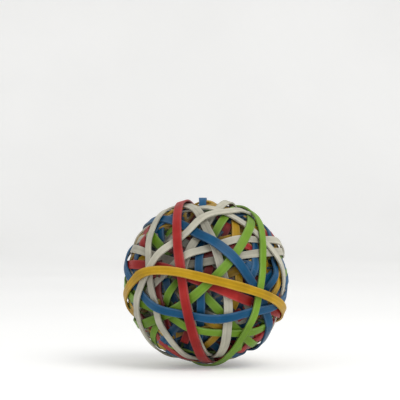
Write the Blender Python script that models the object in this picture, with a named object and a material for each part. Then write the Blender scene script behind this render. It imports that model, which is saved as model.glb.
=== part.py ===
"""Rubber band ball: loose bands of five colours, wound one over another round a solid core.

Metres, +Z up. The side that the photograph shows faces -Y, and the ball's lowest point is at z = 0.
"""
import math

import bmesh
import bpy
import numpy as np
from mathutils import Vector
from mathutils.bvhtree import BVHTree

# driving dimensions, of the bands as they are stretched round the ball
BALL_DIAMETER = 0.060
BAND_WIDTH = 0.0030
BAND_THICKNESS = 0.0006
CLEARANCE = 0.0003
# how far below the ball's outside the solid of older windings reaches where no band presses on it
CORE_DEPTH = 0.0022
# where a band crosses this many others or more, it is at the ball's full diameter
FULL_STACK = 3

CORE_RADIUS = BALL_DIAMETER / 2 - CORE_DEPTH

# how finely the pieces are faceted and measured
STATIONS = 40
CORE_CUTS = 14
FAR_STEP_DEGREES = 45
CURVE_STEPS = 24
TIGHTENING_STEPS = 60
PRESSING_STEPS = 80
RISING_SHARE = 0.4
CORE_SWEEPS = 8
END_SHARE = 0.02
SAMPLES_ALONG = 13
SAMPLES_ACROSS = 7

COLOURS = {
    "red": (0.60, 0.035, 0.035),
    "yellow": (0.80, 0.47, 0.02),
    "green": (0.22, 0.46, 0.04),
    "blue": (0.01, 0.12, 0.36),
    "white": (0.66, 0.61, 0.54),
}
CORE_COLOUR = (0.05, 0.09, 0.12)
BAND_ROUGHNESS = 0.55
CORE_ROUGHNESS = 0.70
SHARP_ANGLE = math.radians(40)

# The photograph looks down on the ball by this much, and the places below are read from it.
VIEW_TILT = math.radians(3)

# Each winding that shows, the outermost first: its name, its colour, its width as a share of the usual
# width, and where it runs on the near side, as longitude and latitude in degrees. From there it leads
# smoothly on round the far side, so that each one is a closed loop.
WINDINGS = [
    ("yellow_girdle_band", "yellow", 1.05,
     [(-67, -4), (-48, 6), (-26, 7), (-1, 2), (24, -4), (47, -10), (66, -16)]),
    ("green_right_band", "green", 0.95, [(62, 45), (47, 26), (41, 1), (37, -24), (33, -40), (33, -60)]),
    ("red_upright_band", "red", 1.10, [(-40, 58), (-25, 35), (-19, 13), (-15, -11), (-12, -33), (-7, -62)]),
    ("white_top_band", "white", 0.90,
     [(66, 58), (28, 55), (0, 51), (-20, 33), (-41, 14), (-58, -14), (-68, -36)]),
    ("blue_low_band", "blue", 1.00, [(-61, -3), (-46, -15), (-22, -22), (8, -26), (31, -22), (50, -20)]),
    ("white_left_band", "white", 0.90,
     [(-70, 58), (-51, 32), (-47, 10), (-42, -14), (-38, -37), (-28, -64)]),
    ("blue_slant_band", "blue", 1.15,
     [(-50, 50), (-21, 43), (0, 31), (16, 19), (32, 1), (50, -18), (64, -34)]),
    ("green_cross_band", "green", 1.05, [(58, 50), (33, 32), (15, 12), (-4, -6), (-20, -18), (-46, -28)]),
    ("red_short_band", "red", 1.10, [(-64, 12), (-33, 10), (-7, 1), (11, -6), (29, -13), (52, -19)]),
    ("white_middle_band", "white", 1.05,
     [(-34, 67), (-8, 54), (3, 36), (9, 15), (15, -8), (17, -34), (20, -62)]),
    ("white_crest_band", "white", 0.85, [(-16, 65), (0, 64), (17, 59), (42, 43), (56, 26)]),
    ("green_low_band", "green", 1.00, [(-62, -14), (-36, -25), (-18, -33), (7, -38), (26, -39), (56, -35)]),
    ("white_upper_band", "white", 0.90, [(-50, -8), (-17, 18), (0, 24), (20, 30), (42, 31), (64, 31)]),
    ("white_short_band", "white", 0.95, [(2, 52), (-9, 33), (-15, 21), (-18, 6), (-15, -14)]),
    ("blue_upright_band", "blue", 0.95, [(-8, 70), (-4, 44), (-6, 10), (-4, -16), (-6, -34), (-12, -60)]),
    ("white_lower_band", "white", 0.95, [(-60, 22), (-17, 13), (1, 15), (25, 18), (60, 21)]),
    ("green_short_band", "green", 0.90, [(44, 62), (21, 52), (7, 38), (-6, 22), (-18, 6)]),
    ("green_left_band", "green", 1.00, [(-52, 33), (-29, 16), (1, -13), (9, -21), (28, -37)]),
    ("yellow_top_band", "yellow", 0.95, [(46, 62), (30, 42), (25, 32), (24, 8), (22, -17), (8, -46)]),
    ("blue_left_band", "blue", 1.10, [(-44, 28), (-33, 1), (-27, -14), (-8, -45)]),
    ("blue_right_band", "blue", 0.95, [(76, 38), (59, 9), (50, -4), (38, -30)]),
    ("yellow_left_band", "yellow", 0.95, [(-66, 16), (-34, 26), (-17, 27), (18, 35), (46, 35)]),
    ("red_inner_band", "red", 1.00, [(42, 62), (26, 48), (11, 32), (2, 10), (-6, -14)]),
    ("yellow_right_band", "yellow", 0.95, [(62, 56), (68, 24), (68, 6), (60, -14), (30, -46)]),
]

# The colours of the windings that lie under all of those, each where the others leave most room.
BURIED = ["red", "white", "green", "blue", "yellow"]
BURIED_CHOICES = 300


def direction(longitude, latitude):
    """Return the unit vector of a place on the ball, whose near side faces -Y."""
    east = math.radians(longitude)
    north = math.radians(latitude)
    right = math.sin(east) * math.cos(north)
    near = math.cos(east) * math.cos(north)
    up = math.sin(north)
    tilted_near = near * math.cos(VIEW_TILT) - up * math.sin(VIEW_TILT)
    tilted_up = near * math.sin(VIEW_TILT) + up * math.cos(VIEW_TILT)
    return np.array([right, -tilted_near, tilted_up])


def unit(vectors):
    """Return the vectors with each one's length made 1."""
    return vectors / np.linalg.norm(vectors, axis=-1, keepdims=True)


def far_side(places):
    """Return places that lead round the far side, from the near side's end smoothly back to its start."""
    pole = np.linalg.svd(places)[2][2]
    turn = np.cross(places[:-1], places[1:]).sum(axis=0)
    pole = pole if turn @ pole > 0 else -pole
    start = unit(places[-1] - pole * (places[-1] @ pole))
    ahead = np.cross(pole, start)
    # each place's turn about the loop's pole, and its tilt off the plane that suits the near side best
    turns = np.unwrap(np.arctan2(places @ ahead, places @ start))
    tilts = np.arcsin(places @ pole)
    leaving = (tilts[-1] - tilts[-2]) / (turns[-1] - turns[-2])
    arriving = (tilts[1] - tilts[0]) / (turns[1] - turns[0])
    span = turns[0] - turns[-1] + 2 * math.pi
    steps = round(math.degrees(span) / FAR_STEP_DEGREES)
    t = np.arange(1, steps) / steps
    tilt = (
        (2 * t**3 - 3 * t**2 + 1) * tilts[-1]
        + (t**3 - 2 * t**2 + t) * span * leaving
        + (3 * t**2 - 2 * t**3) * tilts[0]
        + (t**3 - t**2) * span * arriving
    )
    flat = np.outer(np.cos(span * t), start) + np.outer(np.sin(span * t), ahead)
    return np.cos(tilt)[:, None] * flat + np.sin(tilt)[:, None] * pole


def closed_route(places):
    """Return evenly spaced stations on the unit sphere, through the places and round the far side."""
    knots = np.concatenate([places, far_side(places)])
    gaps = np.linalg.norm(np.roll(knots, -1, axis=0) - knots, axis=1)
    reach = gaps + np.roll(gaps, 1)
    slopes = (np.roll(knots, -1, axis=0) - np.roll(knots, 1, axis=0)) / reach[:, None]
    fine = []
    for start in range(len(knots)):
        end = (start + 1) % len(knots)
        for t in np.linspace(0, 1, CURVE_STEPS, endpoint=False):
            fine.append(
                (2 * t**3 - 3 * t**2 + 1) * knots[start]
                + (t**3 - 2 * t**2 + t) * gaps[start] * slopes[start]
                + (3 * t**2 - 2 * t**3) * knots[end]
                + (t**3 - t**2) * gaps[start] * slopes[end]
            )
    fine.append(fine[0])
    fine = unit(np.array(fine))
    travelled = np.concatenate([[0], np.cumsum(np.linalg.norm(np.diff(fine, axis=0), axis=1))])
    wanted = np.linspace(0, travelled[-1], STATIONS, endpoint=False)
    return unit(np.stack([np.interp(wanted, travelled, fine[:, axis]) for axis in range(3)], axis=1))


def sideways(stations):
    """Return the direction across the band at each station."""
    return unit(np.cross(stations, np.roll(stations, -1, axis=0) - np.roll(stations, 1, axis=0)))


def pole_of(stations):
    """Return the direction that a loop turns about."""
    return unit(np.cross(stations, np.roll(stations, -1, axis=0)).sum(axis=0))


def roomiest_pole(poles):
    """Return the direction that is farthest from every pole so far, and from their opposites."""
    number = np.arange(BURIED_CHOICES) + 0.5
    up = number / BURIED_CHOICES
    turn = number * math.pi * (3 - math.sqrt(5))
    flat = np.sqrt(1 - up**2)
    choices = np.stack([flat * np.cos(turn), flat * np.sin(turn), up], axis=1)
    nearness = np.abs(choices @ np.array(poles).T).max(axis=1)
    return choices[nearness.argmin()]


def round_loop(pole):
    """Return evenly spaced stations on the great circle about a pole."""
    start = unit(np.cross(pole, direction(0, 0)))
    ahead = np.cross(pole, start)
    angles = np.linspace(0, 2 * math.pi, STATIONS, endpoint=False)
    return np.outer(np.cos(angles), start) + np.outer(np.sin(angles), ahead)


def underside(stations, heights, width):
    """Return points all over the inner face of a band."""
    inner = heights[:, None] * stations
    across = sideways(stations)
    points = []
    for share in np.linspace(0, 1, SAMPLES_ALONG, endpoint=False):
        middle = (1 - share) * inner + share * np.roll(inner, -1, axis=0)
        side = (1 - share) * across + share * np.roll(across, -1, axis=0)
        for offset in np.linspace(-width / 2, width / 2, SAMPLES_ACROSS):
            points.append(middle + offset * side)
    return np.concatenate(points)


def stretched_heights(stations, loops_below):
    """Return how high a taut band's inner face lies over the loops that are wound below it."""
    stack = np.zeros(STATIONS)
    for lower in loops_below:
        away = np.arccos(np.clip((stations @ lower.T).max(axis=1), -1, 1)) * CORE_RADIUS
        stack += np.clip(2 - away / BAND_WIDTH, 0, 1)
    lowest = CORE_RADIUS + CLEARANCE
    highest = BALL_DIAMETER / 2 - BAND_THICKNESS
    heights = lowest + (highest - lowest) * np.minimum(stack / FULL_STACK, 1)
    turn_before = np.arccos(np.clip(np.sum(stations * np.roll(stations, 1, axis=0), axis=1), -1, 1))
    turn_after = np.roll(turn_before, -1)
    for _ in range(TIGHTENING_STEPS):
        before = np.roll(heights, 1)
        after = np.roll(heights, -1)
        spread = before * np.sin(turn_before) + after * np.sin(turn_after)
        heights = np.maximum(heights, before * after * np.sin(turn_before + turn_after) / spread)
    return heights


def pressed_heights(stations, width, free_heights, above):
    """Return the height of a band's inner face at each station, pressed in by what is wound above it."""
    if len(above) == 0:
        return free_heights
    after = np.roll(stations, -1, axis=0)
    middle = unit(stations + after)
    along = unit(after - stations)
    across = np.cross(middle, along)
    half_turn = np.arccos(np.clip(np.sum(stations * middle, axis=1), -1, 1))
    rise = above @ middle.T
    ahead = above @ along.T
    beside = above @ across.T
    reach = rise * np.tan(half_turn)
    over = (rise > 0) & (np.abs(beside) < width / 2 + CLEARANCE) & (np.abs(ahead) < reach + CLEARANCE)
    point, start = np.nonzero(over)
    end = (start + 1) % len(stations)
    share = np.clip(0.5 + 0.5 * ahead[point, start] / reach[point, start], 0, 1)
    share = np.where(share < END_SHARE, 0, np.where(share > 1 - END_SHARE, 1, share))
    limit = (rise[point, start] - CLEARANCE - BAND_THICKNESS) / np.cos(half_turn[start])
    # both ends of each segment start low enough to pass under everything, and then rise by turns
    heights = free_heights.copy()
    np.minimum.at(heights, start, limit)
    np.minimum.at(heights, end, limit)
    at_start = share < 1
    at_end = share > 0
    for step in range(PRESSING_STEPS):
        room = free_heights.copy()
        at_limit = (limit - share * heights[end])[at_start] / (1 - share)[at_start]
        np.minimum.at(room, start[at_start], at_limit)
        at_limit = (limit - (1 - share) * heights[start])[at_end] / share[at_end]
        np.minimum.at(room, end[at_end], at_limit)
        rising = slice(step % 2, None, 2)
        heights[rising] += RISING_SHARE * (room - heights)[rising]
    return heights


def rubber(name, colour, roughness):
    """Return a matt rubber material of one colour."""
    material = bpy.data.materials.new(name)
    material.use_nodes = True
    surface = material.node_tree.nodes["Principled BSDF"]
    surface.inputs["Base Color"].default_value = (*colour, 1)
    surface.inputs["Roughness"].default_value = roughness
    surface.inputs["Metallic"].default_value = 0
    material.diffuse_color = (*colour, 1)
    return material


def finish(collection, mesh, name, material):
    """Make an object of a mesh, with outward faces, smooth round its bends and sharp at its edges."""
    if mesh.calc_volume(signed=True) < 0:
        bmesh.ops.reverse_faces(mesh, faces=mesh.faces)
    data = bpy.data.meshes.new(name)
    mesh.to_mesh(data)
    mesh.free()
    data.shade_smooth()
    data.set_sharp_from_angle(angle=SHARP_ANGLE)
    data.materials.append(material)
    piece = bpy.data.objects.new(name, data)
    collection.objects.link(piece)
    return piece


def add_band(collection, name, colour, width, stations, heights):
    """Make one closed loop of band: a ring of four-cornered section, laid along its stations."""
    bpy.ops.mesh.primitive_torus_add(major_segments=STATIONS, minor_segments=4)
    ring = bpy.context.object
    mesh = bmesh.new()
    mesh.from_mesh(ring.data)
    bpy.data.objects.remove(ring)
    across = sideways(stations)
    mesh.verts.ensure_lookup_table()
    for index, vertex in enumerate(mesh.verts):
        station, corner = divmod(index, 4)
        height = heights[station] + (BAND_THICKNESS if corner in (0, 3) else 0)
        side = width / 2 if corner in (0, 1) else -width / 2
        vertex.co = stations[station] * height + across[station] * side
    return finish(collection, mesh, name, rubber(name, COLOURS[colour], BAND_ROUGHNESS))


def pressed_ball(mesh, undersides):
    """Shape a ball of unit radius: its faces lie at the core's radius, or under what is wound over them."""
    faces = np.array([[vertex.index for vertex in face.verts] for face in mesh.faces])
    corners = np.array([vertex.co for vertex in mesh.verts])
    # a face's closeness to the centre, along any ray, is a weighted sum of its corners' closenesses
    wanted = 1 / (np.linalg.norm(undersides, axis=1) - CLEARANCE)
    low = undersides[wanted > 1 / CORE_RADIUS]
    wanted = wanted[wanted > 1 / CORE_RADIUS]
    tree = BVHTree.FromBMesh(mesh)
    centre = Vector((0, 0, 0))
    struck = faces[[tree.ray_cast(centre, Vector(point))[2] for point in low]]
    weights = np.linalg.solve(corners[struck].transpose(0, 2, 1), unit(low)[:, :, None])[:, :, 0]
    weights = np.where(weights < END_SHARE, 0, weights)
    # the corners start deep enough to clear everything, and then come out one by one
    closeness = np.full(len(corners), 1 / CORE_RADIUS)
    np.maximum.at(closeness, struck, (wanted / weights.sum(axis=1))[:, None])
    by_corner = [np.nonzero((struck == corner) & (weights > 0)) for corner in range(len(corners))]
    for _ in range(CORE_SWEEPS):
        for corner, (rows, columns) in enumerate(by_corner):
            if len(rows) == 0:
                continue
            own = weights[rows, columns]
            others = np.sum(weights[rows] * closeness[struck[rows]], axis=1) - own * closeness[corner]
            needed = max(((wanted[rows] - others) / own).max(), 1 / CORE_RADIUS)
            closeness[corner] += RISING_SHARE * (needed - closeness[corner])
    for vertex in mesh.verts:
        vertex.co /= closeness[vertex.index]


def add_core(collection, undersides):
    """Make the solid of older windings: a ball, pressed in wherever a loose band lies deep."""
    mesh = bmesh.new()
    bmesh.ops.create_cube(mesh, size=2)
    bmesh.ops.subdivide_edges(mesh, edges=mesh.edges, cuts=CORE_CUTS, use_grid_fill=True)
    bmesh.ops.triangulate(mesh, faces=mesh.faces)
    for vertex in mesh.verts:
        vertex.co.normalize()
    mesh.faces.ensure_lookup_table()
    pressed_ball(mesh, undersides)
    return finish(collection, mesh, "wound_core", rubber("wound_core", CORE_COLOUR, CORE_ROUGHNESS))


def stand_on_floor(pieces):
    """Move every piece so that the lowest point is at z = 0 and the box is centred in x and y."""
    corners = np.array([vertex.co for piece in pieces for vertex in piece.data.vertices])
    low = corners.min(axis=0)
    high = corners.max(axis=0)
    shift = Vector((-(low[0] + high[0]) / 2, -(low[1] + high[1]) / 2, -low[2]))
    for piece in pieces:
        for vertex in piece.data.vertices:
            vertex.co += shift


def planned_loops():
    """Return each loop's name, colour, width and stations, the outermost first."""
    loops = []
    for name, colour, share, places in WINDINGS:
        near_side = np.array([direction(*place) for place in places])
        loops.append((name, colour, BAND_WIDTH * share, closed_route(near_side)))
    poles = [pole_of(stations) for _, _, _, stations in loops]
    for number, colour in enumerate(BURIED, start=1):
        poles.append(roomiest_pole(poles))
        loops.append((f"buried_{colour}_band_{number}", colour, BAND_WIDTH, round_loop(poles[-1])))
    return loops


def build():
    """Build the ball from its outermost band inward, each band pressed in by all those outside it."""
    for old in list(bpy.data.objects):
        bpy.data.objects.remove(old, do_unlink=True)
    collection = bpy.data.collections.new("rubber_band_ball")
    bpy.context.scene.collection.children.link(collection)
    loops = planned_loops()
    pieces = []
    undersides = np.zeros((0, 3))
    for rank, (name, colour, width, stations) in enumerate(loops):
        loops_below = [loop[3] for loop in loops[rank + 1:]]
        heights = stretched_heights(stations, loops_below)
        heights = pressed_heights(stations, width, heights, undersides)
        pieces.append(add_band(collection, name, colour, width, stations, heights))
        undersides = np.concatenate([undersides, underside(stations, heights, width)])
    pieces.append(add_core(collection, undersides))
    stand_on_floor(pieces)


build()
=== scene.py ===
# A rubber band ball: loose bands of five colours, wound over a core of older ones.
import math
import random

import bmesh
import bpy
import numpy as np
from mathutils import Matrix, Vector
from mathutils.bvhtree import BVHTree


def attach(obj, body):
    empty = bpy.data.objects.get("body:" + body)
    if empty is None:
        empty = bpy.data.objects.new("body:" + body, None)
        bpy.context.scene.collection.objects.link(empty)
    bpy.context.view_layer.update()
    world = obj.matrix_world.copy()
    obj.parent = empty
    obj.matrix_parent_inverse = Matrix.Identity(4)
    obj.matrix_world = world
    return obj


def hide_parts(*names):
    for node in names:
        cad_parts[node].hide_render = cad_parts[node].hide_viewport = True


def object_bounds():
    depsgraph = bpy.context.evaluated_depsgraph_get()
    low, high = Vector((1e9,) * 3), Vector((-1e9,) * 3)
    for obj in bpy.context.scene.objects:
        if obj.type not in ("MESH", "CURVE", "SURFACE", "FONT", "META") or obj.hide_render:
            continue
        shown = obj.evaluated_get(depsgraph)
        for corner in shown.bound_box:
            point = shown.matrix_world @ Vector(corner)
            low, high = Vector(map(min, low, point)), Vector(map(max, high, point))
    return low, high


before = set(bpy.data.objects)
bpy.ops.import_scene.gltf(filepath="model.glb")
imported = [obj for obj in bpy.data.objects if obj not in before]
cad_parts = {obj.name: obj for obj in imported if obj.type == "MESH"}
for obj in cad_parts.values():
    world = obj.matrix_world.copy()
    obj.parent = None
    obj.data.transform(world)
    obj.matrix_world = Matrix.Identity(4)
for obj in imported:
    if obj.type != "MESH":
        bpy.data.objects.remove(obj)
cadLow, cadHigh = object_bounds()
ballCentre = (cadLow + cadHigh) / 2
bandNodes = {name: node for name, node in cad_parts.items() if name != "wound_core"}
millimetresPerMetre = 1000
print(f"frame loaded: {len(bandNodes)} bands round one core")


# the camera stands where the photograph was taken from
cameraSetup = {
    "distance": 0.6,         # from the ball's centre, as with a long lens
    "pictureWidth": 0.1423,  # what the picture spans at the ball
    "sensorWidth": 36,
    "aside": -0.0021,        # the ball stands a little right of the middle
    "above": 0.0290,         # and low in the picture
}


def placeCamera(setup):
    camera = bpy.data.objects.new("camera", bpy.data.cameras.new("camera"))
    camera.data.sensor_width = setup["sensorWidth"]
    camera.data.lens = setup["sensorWidth"] * setup["distance"] / setup["pictureWidth"]
    camera.location = ballCentre + Vector((setup["aside"], -setup["distance"], setup["above"]))
    camera.rotation_euler = (math.radians(90), 0, 0)
    bpy.context.scene.collection.objects.link(camera)
    bpy.context.scene.camera = camera


placeCamera(cameraSetup)
print("camera placed")


# rubber
rubberColours = {
    "red": (0.34, 0.012, 0.010),
    "yellow": (0.48, 0.275, 0.004),
    "green": (0.145, 0.28, 0.016),
    "blue": (0.001, 0.072, 0.172),
    "white": (0.48, 0.46, 0.37),
    # near black: painted shade for the deep gaps where the core shows
    "core": (0.010, 0.014, 0.020),
}

rubberFinish = {
    "roughness": (0.36, 0.58),   # on the smooth patches and on the dull ones
    "specular": 0.18,
    "blotchScale": 130,          # patches of shade, per metre
    "blotchDetail": 3,
    "blotchShade": 0.18,
    "streakScale": 1.7,          # lengthwise lines, per millimetre across the band
    "streakDetail": 4,
    "streakRoughness": 0.6,
    "streakSpan": (0.2, 0.8),    # noise values from the darkest line to the palest
    "streakShade": 0.20,
    "poreScale": 2600,
    "poreDetail": 2,
    "poreRelief": 0.25,          # beside the relief of the lines
    "wanderScale": 90,           # how fast the lines wander along the band
    "wanderDetail": 1,
    "wander": 0.9,
    "bandShade": 0.14,           # from one band to the next
    "deepShade": 0.80,           # painted shade: how much darker the deepest windings are
    "edgePale": 0.14,            # rubbed edges
    "edgeLeast": 0.3,            # the share of that on the patches that are rubbed least
    "paleness": 0.35,            # of their tone, towards white
    "dust": 0.03,
    "dustSpan": (0.45, 0.7),     # noise values from the cleanest patches to the dustiest
    "dustLeast": 0.4,            # the share of it between the pores that hold most
    "dustColour": (0.62, 0.59, 0.54, 1),
    "bump": 0.00007,
}

noiseSpan = (0.3, 0.7)  # most of a noise's values lie between these


def addNode(tree, kind, inputs=None, **settings):
    node = tree.nodes.new(kind)
    for name, value in settings.items():
        setattr(node, name, value)
    for name, value in (inputs or {}).items():
        if isinstance(value, bpy.types.NodeSocket):
            tree.links.new(value, node.inputs[name])
        else:
            node.inputs[name].default_value = value
    return node


def addMath(tree, kind, first, second):
    return addNode(tree, "ShaderNodeMath", {0: first, 1: second}, operation=kind).outputs[0]


def addRange(tree, value, low, high, span=noiseSpan):
    limits = {"From Min": span[0], "From Max": span[1], "To Min": low, "To Max": high}
    return addNode(tree, "ShaderNodeMapRange", {"Value": value, **limits}).outputs[0]


def addBlend(tree, share, first, second):
    # the colours of a mix are its inputs 6 and 7 and its output 2
    blend = addNode(tree, "ShaderNodeMix", {0: share, 6: first, 7: second}, data_type="RGBA")
    return blend.outputs[2]


def addNoise(tree, place, scale, detail, roughness=0.5):
    settings = {"Vector": place, "Scale": scale, "Detail": detail, "Roughness": roughness}
    return addNode(tree, "ShaderNodeTexNoise", settings).outputs


def addStreaks(tree, place, finish):
    # lines along the band, from its own measure across and through it, that wander a little
    grain = addNode(tree, "ShaderNodeAttribute", attribute_name="grain").outputs["Vector"]
    wander = addNoise(tree, place, finish["wanderScale"], finish["wanderDetail"])["Color"]
    scaling = {0: wander, "Scale": finish["wander"]}
    push = addNode(tree, "ShaderNodeVectorMath", scaling, operation="SCALE").outputs[0]
    moved = addNode(tree, "ShaderNodeVectorMath", {0: grain, 1: push}, operation="ADD").outputs[0]
    scale, detail = finish["streakScale"], finish["streakDetail"]
    return addNoise(tree, moved, scale, detail, finish["streakRoughness"])["Fac"]


def rubberMaterial(name, colour, finish):
    material = bpy.data.materials.new(name)
    material.use_nodes = True
    tree = material.node_tree
    surface = tree.nodes["Principled BSDF"]
    place = addNode(tree, "ShaderNodeTexCoord").outputs["Object"]
    # the wear note holds rubbed edges, the band's tone, and how deep it lies for the painted shade
    wear = addNode(tree, "ShaderNodeAttribute", attribute_name="wear").outputs["Vector"]
    edge, bandShade, depth = addNode(tree, "ShaderNodeSeparateXYZ", {0: wear}).outputs
    blotch = addNoise(tree, place, finish["blotchScale"], finish["blotchDetail"])["Fac"]
    pores = addNoise(tree, place, finish["poreScale"], finish["poreDetail"])["Fac"]
    streaks = addStreaks(tree, place, finish)
    # shade from band to band, patch to patch and line to line, and painted shade that darkens it
    # deep in the ball
    patchShade = addRange(tree, blotch, 1 - finish["blotchShade"], 1 + finish["blotchShade"])
    lineLimits = (-finish["streakShade"], finish["streakShade"], finish["streakSpan"])
    lineShade = addRange(tree, streaks, *lineLimits)
    shade = addMath(tree, "MULTIPLY", bandShade, finish["bandShade"])
    shade = addMath(tree, "ADD", addMath(tree, "ADD", shade, patchShade), lineShade)
    # painted shade: the deeper the rubber lies in the ball, the darker its colour
    deepShade = addRange(tree, depth, 1, 1 - finish["deepShade"], (0, 1))
    shade = addMath(tree, "MULTIPLY", shade, deepShade)
    toned = {"Value": shade, "Color": (*colour, 1)}
    shaded = addNode(tree, "ShaderNodeHueSaturation", toned).outputs[0]
    # paler where an edge is rubbed, and a little dust in patches
    pale = tuple(channel + (1 - channel) * finish["paleness"] for channel in colour)
    rubbed = addMath(tree, "MULTIPLY", edge, addRange(tree, blotch, finish["edgeLeast"], 1))
    rubbed = addMath(tree, "MULTIPLY", rubbed, finish["edgePale"])
    shaded = addBlend(tree, rubbed, shaded, (*pale, 1))
    dust = addRange(tree, blotch, 0, finish["dust"], finish["dustSpan"])
    dust = addMath(tree, "MULTIPLY", dust, addRange(tree, pores, finish["dustLeast"], 1))
    shaded = addBlend(tree, dust, shaded, finish["dustColour"])
    tree.links.new(shaded, surface.inputs["Base Color"])
    tree.links.new(addRange(tree, blotch, *finish["roughness"]), surface.inputs["Roughness"])
    surface.inputs["Specular IOR Level"].default_value = finish["specular"]
    relief = addMath(tree, "ADD", streaks, addMath(tree, "MULTIPLY", pores, finish["poreRelief"]))
    raised = {"Height": relief, "Distance": finish["bump"], "Strength": 1}
    bump = addNode(tree, "ShaderNodeBump", raised).outputs["Normal"]
    tree.links.new(bump, surface.inputs["Normal"])
    return material


def unit(vectors):
    return vectors / np.linalg.norm(vectors, axis=-1, keepdims=True)


def squareTo(pole):
    # one direction square to the pole, by way of a vector that leans away from it
    return unit(np.cross(pole, pole[[1, 2, 0]] + (0, 0, 2)))


def smoothRound(points, steps):
    # a smooth closed line through points that lie evenly round a loop, steps to each of them
    before, after, beyond = (np.roll(points, shift, axis=0) for shift in (1, -1, -2))
    lines = []
    for t in np.arange(steps) / steps:
        lines.append(points + 0.5 * (
            (after - before) * t
            + (2 * before - 5 * points + 4 * after - beyond) * t**2
            + (3 * points - before - 3 * after + beyond) * t**3
        ))
    return np.stack(lines, axis=1).reshape(-1, 3)


def relaxRound(values, passes):
    for _ in range(passes):
        values = (np.roll(values, 1, axis=0) + 2 * values + np.roll(values, -1, axis=0)) / 4
    return values


def slowWaves(maker, count, waves):
    # a closed wandering value from -1 to 1, with these numbers of waves round the loop
    turn = np.linspace(0, 2 * math.pi, count, endpoint=False)
    total = sum(np.sin(turn * number + maker.uniform(0, 2 * math.pi)) for number in waves)
    return total / len(waves)


def howDeep(reach, shape):
    # how deep the painted shade is: 0 for what lies far out in the ball, 1 for the deepest
    return np.clip((shape["fullShade"] - reach) / shape["shadeFall"], 0, 1)


def readBand(node, shape):
    # the middle line of a CAD band, cut across at even turns round the ball, and its width
    solid = bmesh.new()
    solid.from_mesh(node.data)
    bmesh.ops.remove_doubles(solid, verts=solid.verts, dist=shape["mergeDistance"])
    points = np.array([vertex.co - ballCentre for vertex in solid.verts])
    solid.verts.index_update()
    first, second = np.array([[vertex.index for vertex in edge.verts] for edge in solid.edges]).T
    volume = abs(solid.calc_volume())
    solid.free()
    pole = np.linalg.svd(points - points.mean(axis=0), full_matrices=False)[2][2]
    start = squareTo(pole)
    cuts = np.arange(shape["sections"]) + shape["firstCut"]
    middles = []
    for turn in cuts * 2 * math.pi / shape["sections"]:
        toward = math.cos(turn) * start + math.sin(turn) * np.cross(pole, start)
        beside = points @ np.cross(pole, toward)
        cut = beside[first] * beside[second] < 0
        share = (beside[first] / (beside[first] - beside[second] + (1 - cut)))[cut, None]
        section = points[first[cut]] * (1 - share) + points[second[cut]] * share
        section = section[section @ toward > 0]
        radial = unit(section.mean(axis=0))
        lateral = np.cross(np.cross(pole, toward), radial)
        spans = [section @ axis for axis in (radial, lateral)]
        centre = [(span.min() + span.max()) / 2 for span in spans]
        middles.append(centre[0] * radial + centre[1] * lateral)
    middles = np.array(middles)
    length = np.linalg.norm(middles - np.roll(middles, 1, axis=0), axis=1).sum()
    return middles, volume / length / shape["cadThickness"]


# what the loose bands and the older windings have in common
bandForm = {
    "ringRadius": 0.028,         # of the plain ring that a band is before it is laid
    "rollWaves": (1, 3, 5, 8),   # numbers of waves round the loop
    "widthWaves": (2, 5, 9, 14),
    "cupWaves": (1, 4, 7),
    "cupBalance": 0.4,           # taken off the cupping, so that the band as a whole stays put
    "rubbedCorners": 2.2,        # what gets rubbed is this many corners wide, both sides together
    "rubbedLevel": 0.1,          # and at least this share of the thickness off the middle
    "grainStep": 7.3,            # from the lines of one band to those of the next
}


def plainRing(width, shape):
    # a section with rounded corners, spun into a ring
    ring = bmesh.new()
    bmesh.ops.create_grid(ring, x_segments=1, y_segments=1, size=0.5)
    bmesh.ops.scale(ring, vec=(shape["thickness"], width, 1), verts=ring.verts)
    bmesh.ops.bevel(ring, geom=ring.verts[:], offset=shape["corner"], offset_type="OFFSET",
                    segments=shape["cornerSegments"], profile=0.5, affect="VERTICES", material=-1)
    bmesh.ops.delete(ring, geom=ring.faces[:], context="FACES_ONLY")
    longEdges = [edge for edge in ring.edges if edge.calc_length() > width / 2]
    bmesh.ops.subdivide_edges(ring, edges=longEdges, cuts=shape["cutsAcross"])
    upright = Matrix.Rotation(math.radians(90), 3, "X")
    bmesh.ops.rotate(ring, verts=ring.verts, cent=(0, 0, 0), matrix=upright)
    bmesh.ops.translate(ring, vec=(bandForm["ringRadius"], 0, 0), verts=ring.verts)
    bmesh.ops.spin(ring, geom=ring.verts[:] + ring.edges[:], cent=(0, 0, 0), axis=(0, 0, 1),
                   angle=2 * math.pi, steps=shape["stations"], use_merge=True)
    bmesh.ops.recalc_face_normals(ring, faces=ring.faces)
    return ring


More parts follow.
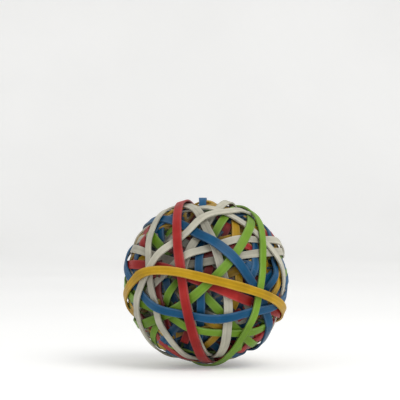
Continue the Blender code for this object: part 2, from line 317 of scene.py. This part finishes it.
def layRing(ring, loop, shape, maker):
    # move each point of a plain ring to its station of the loop, and note what rubber shows there:
    # grain is its place in the lines, and wear is rubbed or not, the band's tone and the depth that
    # sets the painted shade
    count = shape["stations"]
    plain = np.array([vertex.co for vertex in ring.verts])
    turns = np.arctan2(plain[:, 1], plain[:, 0]) / (2 * math.pi)
    station = np.round(turns * count).astype(int) % count
    above = np.hypot(plain[:, 0], plain[:, 1]) - bandForm["ringRadius"]
    aside = plain[:, 2]
    forward = unit(np.roll(loop["middle"], -1, axis=0) - np.roll(loop["middle"], 1, axis=0))
    across = unit(np.cross(loop["outward"], forward))
    outward = unit(np.cross(forward, across))
    roll = slowWaves(maker, count, bandForm["rollWaves"]) * shape["roll"]
    side = across * np.cos(roll)[:, None] + outward * np.sin(roll)[:, None]
    up = outward * np.cos(roll)[:, None] - across * np.sin(roll)[:, None]
    wide = 1 + slowWaves(maker, count, bandForm["widthWaves"]) * shape["widthWander"]
    cup = slowWaves(maker, count, bandForm["cupWaves"]) * shape["cup"]
    share = aside / (loop["width"] / 2)
    cupped = cup[station] * (share**2 - bandForm["cupBalance"])
    lift = above - shape["thickness"] / 2 + cupped
    sideways = side[station] * (aside * wide[station])[:, None]
    placed = np.array(ballCentre) + loop["middle"][station] + sideways + up[station] * lift[:, None]
    for vertex, point in zip(ring.verts, placed):
        vertex.co = point
    # what gets rubbed is the rounded corners and the flat sides next to them
    nearSide = np.abs(share) > 1 - bandForm["rubbedCorners"] * shape["corner"] / loop["width"]
    offMiddle = np.abs(above) > shape["thickness"] * bandForm["rubbedLevel"]
    lines = np.full(len(aside), loop["seed"] * bandForm["grainStep"])
    grain = np.stack([aside * millimetresPerMetre, above * millimetresPerMetre, lines], axis=1)
    shade = np.full(len(aside), loop["shade"])
    # the depth here sets the painted shade, darker deep in the ball
    wear = np.stack([nearSide & offMiddle, shade, loop["depth"][station]], axis=1)
    return grain, wear


def makePiece(name, mesh, material, notes):
    data = bpy.data.meshes.new(name)
    mesh.to_mesh(data)
    mesh.free()
    for label, values in zip(("grain", "wear"), notes):
        attribute = data.attributes.new(label, "FLOAT_VECTOR", "POINT")
        attribute.data.foreach_set("vector", values.astype(np.float32).ravel())
    data.shade_smooth()
    data.materials.append(material)
    piece = bpy.data.objects.new(name, data)
    bpy.context.scene.collection.objects.link(piece)
    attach(piece, "root")
    return piece


# the loose bands, one piece for each CAD band
looseBand = {
    "seed": 11,
    "mergeDistance": 0.000001,
    "cadThickness": 0.0006,
    "sections": 100,
    "firstCut": 0.37,       # off zero, so that no cut falls on a corner of the solid
    "thickness": 0.00070,
    "corner": 0.00013,
    "cornerSegments": 3,
    "cutsAcross": 5,
    "stations": 200,
    "roll": math.radians(4),
    "widthWander": 0.10,
    "cup": 0.00010,
    "relax": 10,
    "proud": 0.00010,       # past the outside of the solid band
    "fullShade": 0.0291,    # painted shade: nearer the centre than this, a band is darker
    "shadeFall": 0.0054,    # and this much nearer it is as dark as the deepest ones
}


def makeLooseBands(shape):
    joined = bmesh.new()
    for number, (name, node) in enumerate(sorted(bandNodes.items())):
        maker = random.Random(number + shape["seed"])
        words = name.split("_")
        colour = next(word for word in words if word in rubberColours)
        middle, width = readBand(node, shape)
        steps = shape["stations"] // len(middle)
        middle = relaxRound(smoothRound(middle, steps), shape["relax"])
        loop = {
            "middle": middle + unit(middle) * (shape["cadThickness"] / 2 + shape["proud"]),
            "outward": unit(middle),
            "width": width,
            "seed": number,
            "shade": maker.uniform(-1, 1),
            # how deep the painted shade on this band is
            "depth": howDeep(np.linalg.norm(middle, axis=1), shape),
        }
        ring = plainRing(width, shape)
        notes = layRing(ring, loop, shape, maker)
        pieceName = words[0] + "".join(word.capitalize() for word in words[1:])
        material = rubberMaterial(pieceName, rubberColours[colour], rubberFinish)
        piece = makePiece(pieceName, ring, material, notes)
        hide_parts(name)
        joined.from_mesh(piece.data)
    tree = BVHTree.FromBMesh(joined)
    joined.free()
    print(f"{len(bandNodes)} loose bands laid")
    return tree


looseTree = makeLooseBands(looseBand)


# the plain core deep inside, near black as painted shade in the gaps where it shows
coreBall = {
    "subdivisions": 6,
    "highest": 0.0296,      # how far out the older windings reach where nothing presses on them
    "nearDeepest": 0.0245,  # a loose band deeper than this lies under them, on the near side
    "farDeepest": 0.0278,   # and on the far side, where the hollows are filled higher
    "nearSide": 0.5,        # a direction is on the near side if it leans this far to the camera
    "gap": 0.00084,         # from the outside of a loose band down to them
    "slope": 1.5,           # how steeply they dip under a loose band
    "slopePasses": 12,
    "smoothing": 3,
    "smoothFactor": 0.5,
    "depth": 0.0018,        # of the older windings that show, down to the plain core
    "rayStart": 0.05,
}


def roomUnderBands(shape):
    # a ball whose surface lies under the loose bands that show and dips towards the deep ones
    ball = bmesh.new()
    bmesh.ops.create_icosphere(ball, subdivisions=shape["subdivisions"], radius=1)
    directions = unit(np.array([vertex.co for vertex in ball.verts]))
    heights = np.full(len(directions), shape["highest"])
    for index, ray in enumerate(directions):
        inward = Vector(-ray)
        start = ballCentre - inward * shape["rayStart"]
        distance = looseTree.ray_cast(start, inward, shape["rayStart"])[3]
        deepest = shape["nearDeepest"] if -ray[1] > shape["nearSide"] else shape["farDeepest"]
        if distance and shape["rayStart"] - distance > deepest:
            heights[index] = min(shape["highest"], shape["rayStart"] - distance - shape["gap"])
    ball.verts.index_update()
    ends = np.array([[vertex.index for vertex in edge.verts] for edge in ball.edges])
    chords = np.linalg.norm(directions[ends[:, 0]] - directions[ends[:, 1]], axis=1)
    length = chords * bandForm["ringRadius"]
    for _ in range(shape["slopePasses"]):
        for near, far in (ends.T, ends.T[::-1]):
            np.minimum.at(heights, near, heights[far] + length * shape["slope"])
    for vertex, ray, height in zip(ball.verts, directions, heights):
        vertex.co = ballCentre + Vector(ray * height)
    return ball


def makeCore(shape):
    ball = roomUnderBands(shape)
    ceiling = BVHTree.FromBMesh(ball)
    for _ in range(shape["smoothing"]):
        bmesh.ops.smooth_vert(ball, verts=ball.verts, factor=shape["smoothFactor"],
                              use_axis_x=True, use_axis_y=True, use_axis_z=True)
    for vertex in ball.verts:
        outward = vertex.co - ballCentre
        vertex.co = ballCentre + outward * (1 - shape["depth"] / outward.length)
    grain = np.array([vertex.co for vertex in ball.verts]) * millimetresPerMetre
    # the core's near black colour is painted shade for the deepest gaps
    material = rubberMaterial("woundCore", rubberColours["core"], rubberFinish)
    piece = makePiece("woundCore", ball, material, (grain, grain * 0))
    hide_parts("wound_core")
    print("core made")
    return ceiling


ceilingTree = makeCore(coreBall)


# the older windings that show between the loose bands
olderBand = {
    "seed": 7,
    "thickness": 0.0008,
    "corner": 0.00016,
    "cornerSegments": 1,
    "cutsAcross": 2,
    "stations": 120,
    "roll": math.radians(3),
    "widthWander": 0.12,
    "cup": 0.00008,
    "relax": 3,
    "width": (0.0024, 0.0034),
    "count": 84,
    "offset": 0.35,            # how far from a great circle a winding may run
    "plainHighest": 0.93,      # the share of the room that the topmost plain winding reaches
    "colours": ["blue", "green", "red", "yellow", "blue",
                "white", "green", "red", "blue", "yellow"],
    "tracedLowest": 0.86,      # a traced winding lies at least this high
    "hold": math.radians(14),  # this close to its places
    "sink": math.radians(40),  # and has sunk under the others this far off
    "sunk": 0.9,               # by this share of the room
    "fullShade": 0.0294,       # painted shade: nearer the centre than this, a winding is darker
    "shadeFall": 0.0028,       # and this much nearer it is as dark as the deepest ones
}

viewTilt = math.radians(3)  # how far the photograph looks down; the places are read from it

# windings that can be told apart in the gaps, with places as longitude and latitude
tracedWindings = [
    ("white", [(2, -9), (11, -12)]),
    ("red", [(-39, 0), (-38, -13)]),
    ("red", [(15, 24), (25, 26), (33, 25)]),
    ("blue", [(39, 17), (34, 3)]),
    ("blue", [(24, 15), (31, 11), (33, 7)]),
    ("white", [(51, 11), (47, 1)]),
    ("yellow", [(49, 17), (46, 5)]),
    ("yellow", [(67, 22), (68, 11), (67, 3)]),
    ("green", [(58, -33), (49, -36), (40, -46)]),
    ("blue", [(21, -21), (30, -18)]),
    ("blue", [(-52, 49), (-50, 53)]),
    ("blue", [(74, -3), (63, -9)]),
    ("blue", [(-6, -48), (15, -50)]),
    ("yellow", [(2, -31), (7, -33)]),
    ("yellow", [(-29, -42), (-16, -41)]),
    ("red", [(48, -63), (54, -53), (59, -47)]),
    ("red", [(42, -28), (48, -33)]),
    ("red", [(-54, -44), (-50, -51), (-47, -57)]),
    ("white", [(-28, 0), (-22, -7)]),
    ("green", [(-12, -1), (-9, -5)]),
    ("red", [(3, 4), (5, 12)]),
    ("green", [(-36, -9), (-32, -17)]),
]


def direction(longitude, latitude):
    east, north = math.radians(longitude), math.radians(latitude)
    level = math.cos(north)
    place = Vector((math.sin(east) * level, -math.cos(east) * level, math.sin(north)))
    return np.array(Matrix.Rotation(-viewTilt, 3, "X") @ place)


def circleStations(pole, offset, count):
    # evenly spaced directions on a circle round the ball
    start = squareTo(pole)
    turn = np.linspace(0, 2 * math.pi, count, endpoint=False)[:, None]
    flat = np.cos(turn) * start + np.sin(turn) * np.cross(pole, start)
    return offset * pole + math.sqrt(1 - offset**2) * flat


def plainPlans(maker, shape):
    # windings in all directions, each a little higher than the last
    plans = []
    for number in range(shape["count"]):
        up = maker.uniform(0, 1)
        around = maker.uniform(0, 2 * math.pi)
        level = math.sqrt(1 - up**2)
        pole = np.array([level * math.cos(around), level * math.sin(around), up])
        stations = circleStations(pole, maker.uniform(-1, 1) * shape["offset"], shape["stations"])
        share = np.full(shape["stations"], shape["plainHighest"] * (number + 1) / shape["count"])
        plans.append((shape["colours"][number % len(shape["colours"])], stations, share))
    return plans


def tracedPlans(shape):
    # windings that lie on top at their places and sink elsewhere, the first one the highest
    plans = []
    for number, (colour, places) in enumerate(tracedWindings):
        spots = np.array([direction(*place) for place in places])
        if len(spots) == 2:
            pole, offset = unit(np.cross(spots[0], spots[1])), 0
        else:
            pole = unit(np.cross(spots[1] - spots[0], spots[2] - spots[1]))
            offset = pole @ spots[0]
        stations = circleStations(pole, offset, shape["stations"])
        away = np.arccos(np.clip((stations @ spots.T).max(axis=1), -1, 1))
        nearness = np.clip((shape["sink"] - away) / (shape["sink"] - shape["hold"]), 0, 1)
        top = 1 - (1 - shape["tracedLowest"]) * number / len(tracedWindings)
        plans.append((colour, stations, top - shape["sunk"] * (1 - nearness)))
    return plans


def windingLoop(stations, width, share, shape):
    # a band that runs along the stations, at its share of the room under the loose bands
    forward = unit(np.roll(stations, -1, axis=0) - np.roll(stations, 1, axis=0))
    across = np.cross(stations, forward)
    heights = np.full(len(stations), coreBall["highest"])
    # the room is measured along the middle of the band and along both of its edges
    for offset in (-0.5, 0, 0.5):
        rays = unit(stations + across * offset * width / bandForm["ringRadius"])
        found = [ceilingTree.ray_cast(ballCentre, Vector(ray))[3] for ray in rays]
        heights = np.minimum(heights, found)
    heights = relaxRound(heights, shape["relax"]) - (1 - share) * coreBall["depth"]
    return {
        "middle": stations * heights[:, None],
        "outward": stations,
        "width": width,
        # how deep the painted shade on this winding is
        "depth": howDeep(heights, shape),
    }


def makeOlderWindings(shape):
    maker = random.Random(shape["seed"])
    joined = {}
    plans = plainPlans(maker, shape) + tracedPlans(shape)
    for number, (colour, stations, share) in enumerate(plans):
        width = maker.uniform(*shape["width"])
        loop = windingLoop(stations, width, share, shape)
        loop["seed"] = number + len(bandNodes)
        loop["shade"] = maker.uniform(-1, 1)
        ring = plainRing(width, shape)
        notes = layRing(ring, loop, shape, maker)
        whole, allNotes = joined.setdefault(colour, (bmesh.new(), []))
        data = bpy.data.meshes.new("winding")
        ring.to_mesh(data)
        ring.free()
        whole.from_mesh(data)
        bpy.data.meshes.remove(data)
        allNotes.append(notes)
    for colour, (whole, allNotes) in joined.items():
        pieceName = "older" + colour.capitalize() + "Windings"
        material = rubberMaterial(pieceName, rubberColours[colour], rubberFinish)
        notes = [np.concatenate(part) for part in zip(*allNotes)]
        makePiece(pieceName, whole, material, notes)
    print(f"{len(plans)} older windings laid in {len(joined)} colours")


makeOlderWindings(olderBand)


# floor, backdrop and light
studio = {
    "floorColour": (0.86, 0.86, 0.85, 1),
    "paleFloorColour": (0.90, 0.90, 0.89, 1),
    "floorRoughness": 0.8,
    "mottleScale": 6,
    "mottleDetail": 2,
    "shownWhiter": 0.24,  # for the camera and reflections alone, so the ball's light stays plain
    "floorSize": 3.0,
    "bend": 0.4,          # from the floor up into the backdrop
    "bendSegments": 12,
    "worldColour": (1.0, 1.0, 1.0, 1),
    "worldStrength": 0.62,
    "worldShownWhiter": 0.30,
    "keyPlace": (0.45, -0.55, 0.75),
    "keySize": 0.6,
    "keyPower": 5,
    "fillPlace": (-0.7, -0.5, 0.3),
    "fillSize": 0.8,
    "fillPower": 1.0,
}


def seenDirectly(tree):
    # 1 where the camera or a reflection sees the background, 0 where it only lights the ball
    rays = addNode(tree, "ShaderNodeLightPath").outputs
    return addMath(tree, "MAXIMUM", rays["Is Camera Ray"], rays["Is Glossy Ray"])


def floorMaterial(setup):
    material = bpy.data.materials.new("paleFloor")
    material.use_nodes = True
    tree = material.node_tree
    surface = tree.nodes["Principled BSDF"]
    place = addNode(tree, "ShaderNodeTexCoord").outputs["Object"]
    noise = addNoise(tree, place, setup["mottleScale"], setup["mottleDetail"])["Fac"]
    mottle = addRange(tree, noise, 0, 1)
    tone = addBlend(tree, mottle, setup["floorColour"], setup["paleFloorColour"])
    tree.links.new(tone, surface.inputs["Base Color"])
    tree.links.new(tone, surface.inputs["Emission Color"])
    seen = addMath(tree, "MULTIPLY", seenDirectly(tree), setup["shownWhiter"])
    tree.links.new(seen, surface.inputs["Emission Strength"])
    surface.inputs["Roughness"].default_value = setup["floorRoughness"]
    return material


def makeFloor(setup):
    sweep = bmesh.new()
    bmesh.ops.create_grid(sweep, x_segments=1, y_segments=1, size=setup["floorSize"] / 2)
    back = [edge for edge in sweep.edges if all(vertex.co.y > 0 for vertex in edge.verts)]
    raised = bmesh.ops.extrude_edge_only(sweep, edges=back)["geom"]
    top = [part for part in raised if isinstance(part, bmesh.types.BMVert)]
    bmesh.ops.translate(sweep, vec=(0, 0, setup["floorSize"] / 2), verts=top)
    corner = [edge for edge in sweep.edges if len(edge.link_faces) == 2]
    bmesh.ops.bevel(sweep, geom=corner, offset=setup["bend"], offset_type="OFFSET",
                    segments=setup["bendSegments"], profile=0.5, affect="EDGES", material=-1)
    data = bpy.data.meshes.new("floorAndBackdrop")
    sweep.to_mesh(data)
    sweep.free()
    data.shade_smooth()
    data.materials.append(floorMaterial(setup))
    floor = bpy.data.objects.new("floorAndBackdrop", data)
    bpy.context.scene.collection.objects.link(floor)


def makeLight(setup):
    world = bpy.data.worlds.new("softLight")
    world.use_nodes = True
    tree = world.node_tree
    background = tree.nodes["Background"]
    background.inputs["Color"].default_value = setup["worldColour"]
    seen = addMath(tree, "MULTIPLY", seenDirectly(tree), setup["worldShownWhiter"])
    strength = addMath(tree, "ADD", seen, setup["worldStrength"])
    tree.links.new(strength, background.inputs["Strength"])
    bpy.context.scene.world = world
    for name in ("key", "fill"):
        lamp = bpy.data.objects.new(name + "Lamp", bpy.data.lights.new(name + "Lamp", "AREA"))
        lamp.data.size = setup[name + "Size"]
        lamp.data.energy = setup[name + "Power"]
        lamp.location = setup[name + "Place"]
        lamp.rotation_euler = (ballCentre - lamp.location).to_track_quat("-Z", "Y").to_euler()
        bpy.context.scene.collection.objects.link(lamp)
    bpy.context.scene.view_settings.view_transform = "Standard"


makeFloor(studio)
makeLight(studio)
print("floor, backdrop and lamps placed")
